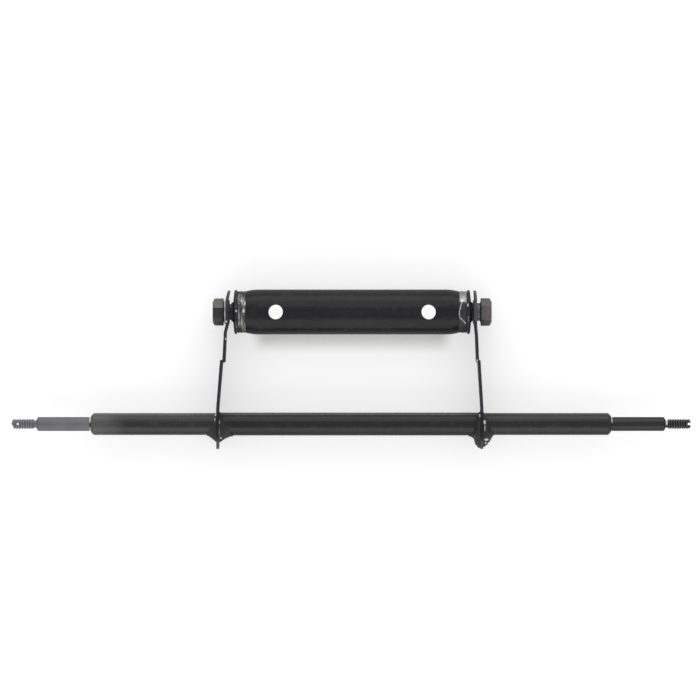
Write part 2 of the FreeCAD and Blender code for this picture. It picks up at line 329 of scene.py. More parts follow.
def black_paint(name, seed, gloss=0.33, depth=1.0, tint=1.0, over=None, worn_and_glints=None, lines=(0.05, 1, 1)):
    """Satin black paint, with depth as the scale of its tone and lines as the stretch of its fine marks.

    What over(finish, colour) gives is laid on the paint, and worn_and_glints(finish) is 1 where bare steel
    shows and where a glint is painted.
    """
    finish = new_finish(name, Specular_IOR_Level=gloss)
    here = finish.place(shift=(seed, 0.7 * seed, 0.3 * seed))
    drawn_here = finish.place(stretch=lines, shift=(seed, 0, 0))
    clouds = finish.noise(here, 60 * MM, 3)
    peel = finish.noise(here, 1.6 * MM, 2)
    drawn = finish.noise(drawn_here, 0.9 * MM, 4, 0.6)
    rubbed = finish.noise(here, 9 * MM, 7, 0.65).step(0.5, 0.72)
    speck = finish.noise(here, 1.1 * MM, 3, 0.6).step(0.69, 0.74)
    dark = (0.0125 * depth, 0.0122 * depth, 0.0148 * depth * tint, 1)
    light = (0.0195 * depth, 0.0190 * depth, 0.0225 * depth * tint, 1)
    colour = finish.mix(clouds.step(0.3, 0.7), dark, light)
    colour = finish.mix(rubbed * 0.35 + speck * 0.2, colour, (0.055, 0.055, 0.058, 1))
    roughness = 0.19 + 0.08 * clouds + 0.12 * rubbed + 0.05 * drawn
    if over:
        colour = over(finish, colour)
    relief = peel * 0.5 + drawn * 0.5
    if worn_and_glints:
        bare = worn_and_glints(finish)
        # Bare steel and the painted glints share this light steel colour
        steel = finish.mix(drawn, (0.78, 0.77, 0.76, 1), (0.95, 0.94, 0.92, 1))
        colour = finish.mix(bare, colour, steel)
        finish.feed(finish.shader["Metallic"], bare * 0.35)
        roughness = roughness - 0.12 * bare
        relief = relief - bare * 0.6
    finish.feed(finish.shader["Base Color"], colour)
    finish.feed(finish.shader["Roughness"], roughness)
    finish.feed(finish.shader["Normal"], finish.bump(relief, 0.05 * MM))
    return finish.material


# A pale grey laid over black paint: painted light on the plugs' shaded necks, a painted highlight on the
# right arm's eye, and a greyer tone at the arms' ends and the left sleeve's end
pale_grey = (0.17, 0.17, 0.175, 1)
# Near-white for painted glints: highlights of the lamp painted onto beads, washers, rims and arms
glint = (0.95, 0.95, 0.94, 1)


# These spots mostly place painted glints, small highlights set where the lamp would flash on metal
def spots(finish, places, thin=None):
    """1 inside small ovals, each given as x, y, half width and half length in mm, seen from above.

    On a thin piece they stay on its upper edge, so that they don't run down its face.
    """
    x, y, z = finish.axes()
    ragged = 0.7 + 0.6 * finish.noise(finish.place(), 0.8 * MM, 3)
    mask = 0 * x
    for centre_x, centre_y, half_width, half_length in places:
        across = (x - centre_x * MM) * (1 / (half_width * MM))
        along = (y - centre_y * MM) * (1 / (half_length * MM))
        oval = ((across * across + along * along) * ragged).step(1.25, 0.75)
        if thin:
            found, top, _, _ = thin.ray_cast((centre_x * MM, centre_y * MM, 1), (0, 0, -1))
            assert found, f"no metal below the spot at {centre_x}, {centre_y}"
            oval = oval * z.step(top.z - 1.6 * MM, top.z - 1.0 * MM)
        mask = mask.larger(oval)
    return mask * z.step(axle.z, axle.z + 1 * MM)


print("one recipe of black paint, and one mask of bare spots")

# %% [markdown]
# Edit-mode tools act on what is selected, and on a freshly loaded scene nearly everything is. A few short
# helpers keep that safe: they make a single object the working one, open and close edit mode on it, and
# apply its modifiers. Two more copy a solid's mesh, join its loose triangles and round its sharp edges with
# a Bevel modifier, as a file does.

# %% Helpers of the bench


def take(piece):
    """Make one object the only selected one, and the active one."""
    bpy.ops.object.select_all(action="DESELECT")
    piece.select_set(True)
    bpy.context.view_layer.objects.active = piece


def edit(piece):
    """Open one object in edit mode with everything selected."""
    take(piece)
    bpy.ops.object.mode_set(mode="EDIT")
    bpy.ops.mesh.select_all(action="SELECT")


def done(piece):
    """Close edit mode and fix the piece's place in its mesh."""
    bpy.ops.object.mode_set(mode="OBJECT")
    bpy.ops.object.transform_apply(location=True, rotation=True, scale=True)


def apply_modifier(piece, kind, **settings):
    """Add one modifier, set it up and apply it."""
    take(piece)
    modifier = piece.modifiers.new(kind.lower(), kind)
    for name, value in settings.items():
        setattr(modifier, name, value)
    bpy.ops.object.modifier_apply(modifier=modifier.name)


def seat(piece, body, slot, *nodes):
    """Say what the piece moves with and which solids it stands for. Its slot is not used."""
    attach(piece, body)
    if nodes:
        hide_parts(*nodes)


def merged_copy(node, name):
    """A new object with a solid's mesh, its loose triangles joined."""
    piece = bpy.data.objects.new(name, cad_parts[node].data.copy())
    bpy.context.scene.collection.objects.link(piece)
    edit(piece)
    bpy.ops.mesh.customdata_custom_splitnormals_clear()
    bpy.ops.mesh.remove_doubles(threshold=0.002 * MM)
    bpy.ops.mesh.dissolve_limited(angle_limit=math.radians(0.6))
    bpy.ops.object.mode_set(mode="OBJECT")
    return piece


def soft_edged(node, name, width, sharp=32):
    """A copy of a solid whose edges, where sharper than that many degrees, are rounded by that width."""
    piece = merged_copy(node, name)
    apply_modifier(
        piece, "BEVEL", width=width, segments=3, limit_method="ANGLE", angle_limit=math.radians(sharp)
    )
    bpy.ops.object.shade_smooth_by_angle(angle=math.radians(28))
    return piece


print("helpers ready")

# %% [markdown]
# The axle's shaft is one bar. A lathe cuts its relief grooves, spindles, undercuts and chamfers, a die cuts
# the threads, and then one end is drilled for a split pin and the other sawn for a locking tab. It is made
# in that order. For the turning, a disc is extruded and scaled from station to station. A lathe profile
# could also be spun round the line, but stations read like the sizes on a drawing: a distance and a radius
# for each.

# %% Turning the bar
spindle_radius = 7.0 * MM
spindle_length = 53.1 * MM
relief_radius = {"left": 6.3 * MM, "right": 6.8 * MM}
relief_width = 1.4 * MM
thread_radius = 5.0 * MM
thread_length = 22.5 * MM
undercut_radius = 3.6 * MM
undercut_width = 2.7 * MM
spindle_cone = (1.7 * MM, 2.6 * MM)
end_cone = 1.6 * MM
shaft_radius = (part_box("axle_shaft")[1].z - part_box("axle_shaft")[0].z) / 2
sleeve_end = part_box("axle_sleeve_right")[1].x
spindle_start = sleeve_end + relief_width
spindle_end = spindle_start + spindle_length
thread_start = spindle_end + undercut_width


def half_profile(side):
    """Distance from the middle and radius at each station of one half of the bar."""
    return [
        (sleeve_end, shaft_radius),
        (sleeve_end, relief_radius[side]),
        (spindle_start, relief_radius[side]),
        (spindle_start, spindle_radius - 0.15 * MM),
        (spindle_start + 0.3 * MM, spindle_radius),
        (spindle_end - spindle_cone[0], spindle_radius),
        (spindle_end, spindle_radius - spindle_cone[1]),
        (spindle_end, undercut_radius + 0.3 * MM),
        (spindle_end + 0.3 * MM, undercut_radius),
        (thread_start - 0.7 * MM, undercut_radius),
        (thread_start, thread_radius),
        (shaft_half - end_cone, thread_radius),
        (shaft_half, thread_radius - end_cone),
    ]


stations = [(-x, r) for x, r in reversed(half_profile("left"))] + half_profile("right")


def turned_bar(name, stations, centre, sides):
    """A solid turned about a line along X: a disc extruded and scaled from station to station."""
    start, radius = stations[0]
    place = (start, centre.y, centre.z)
    bpy.ops.mesh.primitive_circle_add(
        vertices=sides, radius=radius, fill_type="NGON", location=place, rotation=(0, math.pi / 2, 0)
    )
    bar = bpy.context.object
    bar.name = name
    bpy.ops.object.transform_apply(location=True, rotation=True, scale=True)
    edit(bar)
    for (here, before), (there, after) in zip(stations, stations[1:]):
        bpy.ops.mesh.extrude_region_move(TRANSFORM_OT_translate={"value": (there - here, 0, 0)})
        share = after / before
        bpy.ops.transform.resize(value=(1, share, share), center_override=(there, centre.y, centre.z))
    bpy.ops.mesh.select_all(action="SELECT")
    bpy.ops.mesh.normals_make_consistent(inside=False)
    bpy.ops.object.mode_set(mode="OBJECT")
    return bar


bpy.ops.object.select_all(action="DESELECT")
shaft = turned_bar("threaded_shaft", stations, axle, 72)
apply_modifier(
    shaft, "BEVEL", width=0.12 * MM, segments=2, limit_method="ANGLE", angle_limit=math.radians(25)
)
print("bar", [round(s / MM, 1) for s in shaft.dimensions], "faces", len(shaft.data.polygons))

# %% [markdown]
# A thread cutter is a triangle that the Screw modifier winds round the axle's line. It reaches from the
# undercut, where it runs in free air, to past the bar's end. Its pitch follows the crests that can be
# counted on the real spindle ends. A bump map could fake the thread, but its teeth are seen in outline
# here.

# %% Cutting the threads
pitch = 2.5 * MM
groove_depth = 1.1 * MM
groove_half_width = 0.95 * MM
overshoot = 0.28 * MM  # beyond the crests; with much more, the cutter's turns would run into one another


def take_away(piece, cutter):
    """Cut one mesh out of another and clear the cutter away."""
    apply_modifier(piece, "BOOLEAN", operation="DIFFERENCE", object=cutter, solver="EXACT")
    bpy.data.objects.remove(cutter)


def thread_cutter(start, length):
    """A triangular helix about the axle's line."""
    bpy.ops.object.select_all(action="DESELECT")
    bpy.ops.mesh.primitive_circle_add(vertices=3, radius=1, location=(start, axle.y, axle.z))
    cutter = bpy.context.object
    edit(cutter)
    top = thread_radius + overshoot
    bottom = thread_radius - groove_depth
    half_width = groove_half_width * (top - bottom) / groove_depth
    bpy.ops.transform.resize(value=(half_width / math.sin(math.radians(60)), -(top - bottom) / 1.5, 1))
    bpy.ops.object.mode_set(mode="OBJECT")
    lowest = min(v.co.y for v in cutter.data.vertices)
    edit(cutter)
    bpy.ops.transform.translate(value=(0, bottom - lowest, 0))
    bpy.ops.object.mode_set(mode="OBJECT")
    turns = math.ceil(length / pitch)
    apply_modifier(
        cutter, "SCREW", axis="X", angle=math.tau, steps=48, render_steps=48, screw_offset=pitch,
        iterations=turns, use_merge_vertices=True, merge_threshold=0.001 * MM,
    )
    edit(cutter)
    bpy.ops.mesh.fill_holes(sides=4)
    bpy.ops.mesh.normals_make_consistent(inside=False)
    done(cutter)
    return cutter


for start in (thread_start - 1.0 * MM, -shaft_half - 2.0 * MM):
    take_away(shaft, thread_cutter(start, thread_length + 2.5 * MM))
print("threaded", len(shaft.data.polygons), "faces", [round(s / MM, 2) for s in shaft.dimensions])

# %% [markdown]
# The left end has a hole for a split pin and runs out in a blunt point. The right end is sawn open. The
# hole and the slot go right through, so each is a plain cutter and a Boolean modifier. The point needs only
# two slanting cuts, which the bisect tool makes and closes without a cutter.

# %% Drilling, sawing and trimming the ends
pin_hole_radius = 1.1 * MM
pin_hole_from_end = 6.3 * MM
slot_width = 2.2 * MM
slot_depth = 2.8 * MM

bpy.ops.object.select_all(action="DESELECT")
bpy.ops.mesh.primitive_cylinder_add(
    vertices=32, radius=pin_hole_radius, depth=30 * MM,
    location=(-shaft_half + pin_hole_from_end, axle.y, axle.z),
)
drill = bpy.context.object
bpy.ops.object.transform_apply(location=True, rotation=True, scale=True)
take_away(shaft, drill)

bpy.ops.object.select_all(action="DESELECT")
bpy.ops.mesh.primitive_cube_add(size=1, location=(shaft_half, axle.y, axle.z))
saw = bpy.context.object
edit(saw)
bpy.ops.transform.resize(value=(2 * slot_depth, slot_width, 30 * MM))
done(saw)
take_away(shaft, saw)

edit(shaft)
for slant in (-0.45, 0.30):
    bpy.ops.mesh.select_all(action="SELECT")
    bpy.ops.mesh.bisect(
        plane_co=(-shaft_half + 0.1 * MM, axle.y + 0.6 * MM, axle.z), plane_no=(-0.9, slant, 0),
        use_fill=True, clear_outer=True,
    )
done(shaft)
bpy.ops.object.shade_smooth_by_angle(angle=math.radians(30))
seat(shaft, "axle_frame", "black_paint", "axle_shaft")
print("shaft", [round(s / MM, 2) for s in shaft.dimensions])

# %% [markdown]
# The shaft's finish changes along it. The spindles wear a thin black, much greyer towards the left end. The
# threads are oily dark steel with lighter crests. The bare metal on the upper side of the relief groove next
# to each sleeve, a small bright line, and in the right undercut carries a painted glint. One material does
# it all, with masks that are distances along X and from the axle's line, so that no seam between materials
# has to be placed.

# %% Finish of the shaft


def shaft_finish():
    """Thin black on the spindles, oily steel on the threads, and painted glints on the grooves' metal."""
    finish = new_finish("shaft_paint_and_thread")
    finish.feed(finish.shader["Specular IOR Level"], 0.6)
    x, y, z = finish.axes(axle)
    out = abs(x)
    radius = (y * y + z * z).root()
    here = finish.place()
    clouds = finish.noise(here, 30 * MM, 4)
    drawn = finish.noise(finish.place(stretch=(0.06, 1, 1)), 0.8 * MM, 4, 0.6)
    turned = finish.noise(finish.place(stretch=(1, 0.05, 0.05)), 0.45 * MM, 3, 0.6)
    oil = finish.noise(here, 2.2 * MM, 4, 0.6)
    black = finish.mix(clouds.step(0.3, 0.7), (0.010, 0.010, 0.0125, 1), (0.018, 0.0178, 0.021, 1))
    left_end_grey = x.step(-sleeve_end - 0.5 * MM, -sleeve_end - 2 * MM) * (0.72 + 0.5 * (clouds - 0.5))
    colour = finish.mix(left_end_grey, black, (0.27, 0.27, 0.283, 1))
    in_thread = out.step(spindle_end - 0.2 * MM, spindle_end + 0.6 * MM)
    crest = radius.step(thread_radius - 0.55 * MM, thread_radius - 0.05 * MM)
    steel = finish.mix(crest, (0.035, 0.033, 0.038, 1), (0.16, 0.155, 0.16, 1))
    steel = finish.mix(oil.step(0.52, 0.7) * 0.6, steel, (0.07, 0.055, 0.095, 1))
    steel = finish.mix(left_end_grey * 0.85, steel, (0.46, 0.46, 0.49, 1))
    colour = finish.mix(in_thread, colour, steel)
    # Painted glints: the grooves' metal is near-white only towards the beam, and the right undercut only on
    # one side, where a highlight is painted in
    groove = out.step(sleeve_end - 0.1 * MM, sleeve_end + 0.2 * MM) * out.step(
        spindle_start + 0.3 * MM, spindle_start + 0.05 * MM
    )
    top = y.step(0, 3 * MM) * (0.6 + 0.4 * x.step(0, -1 * MM))
    groove = groove * top.larger(0.8 * y.step(-3 * MM, -4 * MM) * x.step(0, -1 * MM))
    undercut_glint = in_thread * out.step(thread_start - 0.4 * MM, thread_start - 0.9 * MM)
    undercut_glint = undercut_glint * x.step(0, 1 * MM) * y.step(-1.6 * MM, -0.6 * MM)
    bare_glint_mask = groove.larger(undercut_glint)
    colour = finish.mix(bare_glint_mask, colour, finish.mix(turned, (0.80, 0.78, 0.68, 1), (1.0, 0.98, 0.90, 1)))
    finish.feed(finish.shader["Base Color"], colour)
    finish.feed(finish.shader["Metallic"], (1 - bare_glint_mask) * in_thread * (0.35 + 0.45 * crest) + 0.3 * bare_glint_mask)
    finish.feed(finish.shader["Roughness"], 0.22 + 0.08 * clouds + 0.08 * oil + 0.16 * left_end_grey)
    finish.feed(finish.shader["Normal"], finish.bump(drawn * 0.6 + turned * 0.4, 0.04 * MM))
    return finish.material


wear(shaft, shaft_finish())
print("shaft finished")

# %% [markdown]
# The arms were sheared and pressed from plate, so their edges are slightly rolled over and catch the light
# as thin lines. Bolts, washers and plugs are softened in the same way, only less. Each gets a copy of its
# solid with a narrow bevel. A Bevel node in the shader would fake it only in a render, while a bevelled
# mesh keeps it everywhere.

# %% Soft edges
arms = {}
bolts = {}
washers = {}
plugs = {}
for side in ("left", "right"):
    arms[side] = soft_edged(f"swing_arm_{side}", f"arm_plate_{side}", 0.55 * MM)
    seat(arms[side], "axle_frame", "black_paint", f"swing_arm_{side}")
    bolts[side] = soft_edged(f"pivot_bolt_{side}", f"hexagon_bolt_{side}", 0.2 * MM, sharp=20)
    seat(bolts[side], "beam", "bolt_steel", f"pivot_bolt_{side}")
    washers[side] = soft_edged(f"pivot_washer_{side}", f"plain_washer_{side}", 0.2 * MM)
    seat(washers[side], "beam", "zinc", f"pivot_washer_{side}")
    plugs[side] = soft_edged(f"end_plug_{side}", f"turned_plug_{side}", 0.3 * MM)
    seat(plugs[side], "beam", "black_paint", f"end_plug_{side}")
    print(side, "arm", len(arms[side].data.polygons), "bolt", len(bolts[side].data.polygons), "faces")

# %% [markdown]
# A hand-laid weld bead is a row of small overlapping scales, one for each dab of the rod. One scale is
# modelled once, as a squashed ball, and copied along the seam with small seeded differences. The scales and
# the plain solid of the bead are then joined into one skin by a voxel remesh, and smoothed a little as
# molten metal is. Rippled bump would be cheaper, but beads are seen in outline here.

# %% One scale of a bead


def bead_scale():
    """A squashed ball, one metre across, that every bead copies."""
    bpy.ops.object.select_all(action="DESELECT")
    bpy.ops.mesh.primitive_uv_sphere_add(segments=14, ring_count=8, radius=0.5)
    ball = bpy.context.object
    edit(ball)
    bpy.ops.transform.resize(value=(1, 1, 0.9))
    done(ball)
    return ball


scale_master = bead_scale()


def rippled(core, places, voxel, smoothing):
    """Join a bead's core with scales at (matrix) places into one skin."""
    for matrix in places:
        scale = scale_master.copy()
        scale.data = scale_master.data.copy()
        scale.matrix_world = matrix
        bpy.context.scene.collection.objects.link(scale)
        scale.select_set(True)
    core.select_set(True)
    bpy.context.view_layer.objects.active = core
    bpy.ops.object.join()
    apply_modifier(core, "REMESH", mode="VOXEL", voxel_size=voxel)
    apply_modifier(core, "SMOOTH", factor=0.5, iterations=smoothing)
    take(core)
    bpy.ops.object.shade_smooth()
    return core


print("one scale has", len(scale_master.data.polygons), "faces")

# %% [markdown]
# Each scale needs a place, a direction that is out of the skin, and a lean, because the dabs of a weld lie
# on one another. A matrix holds all of it at once, so a copy of the ball gets its size, turn and place in
# one step. Angles for each copy would need a case for every side of the seam.

# %% Where the scales go


def scale_place(spot, normal, size, lean):
    """A scale that lies along the skin at a spot, and leans round the tube like a fallen domino."""
    forward = Vector((1, 0, 0)).cross(normal).normalized()
    sideways = normal.cross(forward)
    out = normal * math.cos(lean) + forward * math.sin(lean)
    ahead = forward * math.cos(lean) - normal * math.sin(lean)
    matrix = Matrix.Translation(spot)
    for column, vector in enumerate((sideways * size[0], out * size[1], ahead * size[2])):
        for row in range(3):
            matrix[row][column] = vector[row]
    return matrix


def around(angle):
    """The direction at an angle from +Y towards +Z."""
    return Vector((0, math.cos(angle), math.sin(angle)))


print("a scale leans by its matrix, straight up is", around(math.pi / 2).to_tuple(0))

# %% [markdown]
# The beads between the beam's tube and its end plugs go right round, in three narrow passes side by side,
# which is why they look like upright streaks from above. Their cores are copies of the measured beads, so
# that the scales only add the ripples.

# %% Beads at the beam's ends
# Where each pass starts, from the tube's edge, and its width, in mm; the first one laps over the tube's end
bead_passes = ((-0.5, 2.9), (2.4, 3.0), (5.4, 3.2))


def plug_bead(side):
    """Three passes of scales round one end of the beam."""
    dice = random.Random(11 if side == "left" else 12)
    node = f"plug_weld_{side}"
    core = merged_copy(node, f"bead_{side}")
    low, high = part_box(node)
    crown = (high.z - low.z) / 2
    tube_edge = high.x if side == "left" else low.x
    way = -1 if side == "left" else 1
    places = []
    for run, (along, width) in enumerate(bead_passes):
        count = round(math.tau * crown / (1.9 * MM))
        for k in range(count):
            angle = math.tau * (k + dice.uniform(-0.2, 0.2)) / count + 0.4 * run
            size = (
                width * MM * dice.uniform(1.0, 1.2),
                2.2 * MM * dice.uniform(0.85, 1.15),
                1.5 * MM * dice.uniform(0.85, 1.15),
            )
            x = tube_edge + way * (along + width / 2 - 0.7 + dice.uniform(-0.3, 0.3)) * MM
            spot = Vector((x, beam.y, beam.z)) + around(angle) * (crown - 1.1 * MM)
            places.append(scale_place(spot, around(angle), size, 0.5))
    take(core)
    return rippled(core, places, 0.28 * MM, 2)


beads = {}
for side in ("left", "right"):
    beads[side] = plug_bead(side)
    seat(beads[side], "beam", "weld_metal", f"plug_weld_{side}")
    print("bead", side, len(beads[side].data.polygons), "faces")

# %% [markdown]
# The beads at the arms are fillets: thick on the side away from the beam, where the weld was built up, and
# thin towards the beam. Their scales lie on the fillet's slanting flank, and shrink with it where it thins
# out. A ray cast on the core finds the flank, which saves working out its slope from the solid's sizes.

# %% Beads at the arms


def arm_bead(side, face):
    """Low scales on one fillet, each laid where a line drawn in towards its middle meets the solid."""
    dice = random.Random(f"{side} {face}")
    node = f"arm_weld_{side}_{face}"
    core = merged_copy(node, f"arm_bead_{side}_{face}")
    low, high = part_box(node)
    plate_radius = (high.z - low.z) / 2
    reach = high.x - low.x
    count = round(math.tau * plate_radius / (2.2 * MM))
    rows = 4
    places = []
    for k in range(count):
        for row in range(rows):
            way = around(math.tau * (k + 0.5 * (row % 2) + dice.uniform(-0.2, 0.2)) / count)
            x = low.x + (row + 0.5 + dice.uniform(-0.15, 0.15)) / rows * reach
            start = Vector((x, low.y + plate_radius, axle.z)) + way * (plate_radius + 5 * MM)
            found, spot, normal, _ = core.ray_cast(start, -way)
            from_arm = (high.x - x if (side == "left") == (face == "outer") else x - low.x) / reach
            # The side towards the beam is a thin smooth run, with no scales
            if found and spot.y < axle.y + 6 * MM:
                grow = 1.15 - 0.55 * from_arm
                size = (
                    reach / rows * 1.1,
                    1.7 * MM * grow * dice.uniform(0.8, 1.2),
                    1.8 * MM * grow * dice.uniform(0.8, 1.2),
                )
                places.append(scale_place(spot - normal * 0.5 * MM, normal, size, 0.35))
    take(core)
    return rippled(core, places, 0.3 * MM, 1)


arm_beads = {}
for side in ("left", "right"):
    for face in ("inner", "outer"):
        bead = arm_bead(side, face)
        arm_beads[side, face] = bead
        seat(bead, "axle_frame", "painted_weld", f"arm_weld_{side}_{face}")
        print("arm bead", side, face, len(bead.data.polygons), "faces")
bpy.data.objects.remove(scale_master)

# %% [markdown]
# Bare weld metal is bright but stained: straw and brown where the heat stopped, and paint that caught only
# in patches. The streaks are noise drawn out round the seam, and the paint's edge is a wandering line. On
# the left bead the metal is dull and streaked all over. The right one is painted, apart from a block at the
# back and a thin line next to the tube. One function makes both, because the stains and the relief are the
# same.

# %% Finish of the bare beads


def bead_finish(name, side, seed):
    """Stained weld metal with paint over part of it, and a few painted glints of near-white."""
    finish = new_finish(name)
    x, y, _ = finish.axes((middle(f"plug_weld_{side}").x, beam.y, beam.z))
    here = finish.place(shift=(seed, seed, 0))
    streaks = finish.noise(finish.place(stretch=(1, 0.12, 0.12), shift=(seed, 0, 0)), 1.4 * MM, 4, 0.6)
    stain = finish.noise(here, 5 * MM, 4, 0.6)
    grit = finish.noise(here, 0.7 * MM, 4, 0.6)
    wander = finish.noise(here, 4 * MM, 3) - 0.5
    if side == "left":
        metal = finish.mix(streaks.step(0.35, 0.7), (0.12, 0.115, 0.11, 1), (0.44, 0.43, 0.40, 1))
        painted = (streaks + (grit - 0.5) * 0.3 + 0.05 * y.step(-8 * MM, 8 * MM)).step(0.62, 0.46) * 0.9
        glint_dots = [(-107.2, 58.2, 1.05, 1.9), (-105.8, 66.0, 0.5, 2.2), (-109.5, 68.0, 0.45, 1.0)]
    else:
        metal = finish.mix(streaks, (0.36, 0.355, 0.36, 1), (0.72, 0.72, 0.74, 1))
        # The line runs along the tube in a bow and curls in below
        bow = (y + 2 * MM) * (y + 2 * MM) * (0.018 / MM) + y.step(-4.5 * MM, -12 * MM) * (4.6 * MM)
        line = x - bow + 3.4 * MM + wander * (2.4 * MM)
        thin = abs(line).step(0.75 * MM, 0.4 * MM) * y.step(-12.5 * MM, -11 * MM)
        block = (y + wander * (3 * MM)).step(8.8 * MM, 10.2 * MM) * x.step(-3.6 * MM, -2.8 * MM)
        painted = 1 - thin.larger(block)
        glint_dots = [(111.0, 68.4, 1.2, 1.1), (109.4, 61.0, 0.5, 0.6)]
    metal = finish.mix(stain.step(0.52, 0.68) * 0.7, metal, (0.30, 0.25, 0.14, 1))
    metal = finish.mix(stain.step(0.46, 0.3) * 0.5, metal, (0.16, 0.13, 0.15, 1))
    paint = finish.mix(grit, (0.014, 0.014, 0.016, 1), (0.060, 0.058, 0.060, 1))
    glint_spots = spots(finish, glint_dots)
    colour = finish.mix(glint_spots, finish.mix(painted, metal, paint), glint)
    finish.feed(finish.shader["Base Color"], colour)
    finish.feed(finish.shader["Metallic"], (1 - painted) * (1 - 0.65 * glint_spots))
    finish.feed(finish.shader["Roughness"], 0.22 + 0.18 * stain + 0.10 * grit + 0.10 * painted)
    finish.feed(finish.shader["Normal"], finish.bump(grit * 0.6 + streaks * 0.4, 0.06 * MM))
    return finish.material


for side, seed in (("left", 0.31), ("right", 0.57)):
    wear(beads[side], bead_finish(f"bare_bead_{side}", side, seed))
print("bare beads finished")

# %% [markdown]
# The arm beads are under a glossier black than the arms. A few spatter grains and chips shine through,
# scattered by noise. The bright spots seen at first glance are painted glints, placed one by one, the
# largest low on the right outer bead, as noise would never put them where they are.

# %% Finish of the painted beads


def painted_bead_finish(name, seed, chips, glint_dots):
    """Glossy black on ripples; metal where the noise is above chips, painted glints at glint_dots."""
    finish = new_finish(name)
    here = finish.place(shift=(seed, 0, seed))
    grit = finish.noise(here, 0.8 * MM, 4, 0.6)
    clouds = finish.noise(here, 6 * MM, 4)
    chips_and_glints = finish.noise(here, 2.6 * MM, 5, 0.62).step(chips, chips + 0.03)
    chips_and_glints = chips_and_glints.larger(spots(finish, glint_dots))
    colour = finish.mix(clouds, (0.018, 0.018, 0.021, 1), (0.042, 0.041, 0.045, 1))
    colour = finish.mix(grit.step(0.6, 0.7) * 0.4, colour, (0.07, 0.07, 0.07, 1))
    colour = finish.mix(chips_and_glints, colour, (0.97, 0.97, 0.96, 1))
    finish.feed(finish.shader["Base Color"], colour)
    finish.feed(finish.shader["Metallic"], chips_and_glints * 0.35)
    finish.feed(finish.shader["Roughness"], 0.26 + 0.16 * clouds)
    finish.feed(finish.shader["Normal"], finish.bump(grit, 0.08 * MM))
    return finish.material


bead_chips_and_glints = {
    ("left", "inner"): (0.76, [
        (-132.2, -52.8, 1.2, 1.9), (-131.9, -62.5, 0.45, 6.5), (-130.0, -68.8, 0.9, 0.9),
    ]),
    ("left", "outer"): (0.78, [(-135.6, -44.6, 1.2, 2.2), (-136.0, -50.2, 0.45, 1.6)]),
    ("right", "inner"): (0.76, [(128.6, -46.3, 0.8, 1.6)]),
    ("right", "outer"): (0.74, [
        (133.5, -52.8, 1.1, 2.1), (133.7, -58.6, 0.4, 3.0), (135.4, -70.3, 2.2, 1.1),
        (134.6, -73.6, 0.8, 1.1),
    ]),
}
for number, (key, (level, glint_dots)) in enumerate(bead_chips_and_glints.items()):
    wear(arm_beads[key], painted_bead_finish("painted_bead_" + "_".join(key), 0.2 * number, level, glint_dots))
print("painted beads finished")

# %% [markdown]
# The bolt heads have the brown-grey skin of oiled, heat-treated steel, with darker oil in blotches. The
# facet on their far side is painted paler, as light falls on it, and a painted shade darkens a line round
# the head's foot. The left washer is bright zinc, its shine painted as near-white colour, the right one a
# grey collar, and the bushes are dark steel. Turned and plated metal share one function, because both carry
# fine rings about the X line and differ only in tone.

# %% Finishes of bolts, washers and bushes
head_height = 11.5 * MM


def bolt_finish(name, seed, dark, lit_facet_colour, lit_facet_above, head_foot):
    """Oiled steel, paler in painted light past lit_facet_above from the pivot line,
    and dark in painted shade round head_foot.
    """
    finish = new_finish(name)
    here = finish.place(shift=(seed, 0, 0))
    x, y, _ = finish.axes(beam)
    blotch = finish.noise(here, 5 * MM, 5, 0.6)
    fine = finish.noise(here, 0.6 * MM, 4, 0.6)
    marks = finish.noise(finish.place(stretch=(1, 0.15, 1)), 0.8 * MM, 3)
    # Painted light: the head's far side and, a little, its low side are paler
    painted_facet_light = y.step(lit_facet_above - 0.15 * MM, lit_facet_above + 0.15 * MM)
    painted_facet_light = painted_facet_light.larger(0.3 * y.step(-4.5 * MM, -8 * MM))
    colour = finish.mix(painted_facet_light * (0.85 + 0.3 * (blotch - 0.5)), dark, lit_facet_colour)
    # Painted shade: a dark line round the head's foot, where it meets the washer
    rim = abs(x - head_foot).step(1.7 * MM, 1.1 * MM)
    colour = finish.mix(rim * 0.8, colour, (0.02, 0.02, 0.024, 1))
    colour = finish.mix(blotch.step(0.45, 0.7) * 0.25, colour, (0.05, 0.045, 0.05, 1))
    colour = finish.mix(fine.step(0.62, 0.72) * 0.4, colour, (0.22, 0.19, 0.18, 1))
    finish.feed(finish.shader["Base Color"], colour)
    finish.feed(finish.shader["Metallic"], 0.35 + 0.3 * blotch)
    finish.feed(finish.shader["Roughness"], 0.32 + 0.14 * blotch + 0.08 * fine)
    finish.feed(finish.shader["Normal"], finish.bump(fine * 0.6 + marks * 0.4, 0.05 * MM))
    return finish.material


def bright_metal(name, seed, light, dark, smooth, metallic, glint_dots=(), piece=None):
    """Plated or turned metal with rings of fine marks about the X line, and painted glints at glint_dots."""
    finish = new_finish(name)
    here = finish.place(shift=(seed, 0, 0))
    cloud = finish.noise(here, 3 * MM, 4)
    fine = finish.noise(finish.place(stretch=(1, 0.2, 0.2)), 0.4 * MM, 3)
    glint_spots = spots(finish, glint_dots, piece)
    colour = finish.mix(glint_spots, finish.mix(cloud.step(0.3, 0.7), dark, light), glint)
    finish.feed(finish.shader["Base Color"], colour)
    finish.feed(finish.shader["Metallic"], (metallic + 0.08 * cloud) * (1 - 0.6 * glint_spots))
    finish.feed(finish.shader["Roughness"], smooth + 0.12 * cloud)
    finish.feed(finish.shader["Normal"], finish.bump(fine, 0.03 * MM))
    return finish.material


wear(bolts["left"], bolt_finish(
    "oiled_bolt_left", 0.1, (0.062, 0.059, 0.066, 1), (0.25, 0.24, 0.20, 1), 4.3 * MM,
    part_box("pivot_bolt_left")[0].x + head_height - beam.x,
))
wear(bolts["right"], bolt_finish(
    "oiled_bolt_right", 0.5, (0.205, 0.183, 0.186, 1), (0.215, 0.198, 0.198, 1), 6.2 * MM,
    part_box("pivot_bolt_right")[1].x - head_height - beam.x,
))
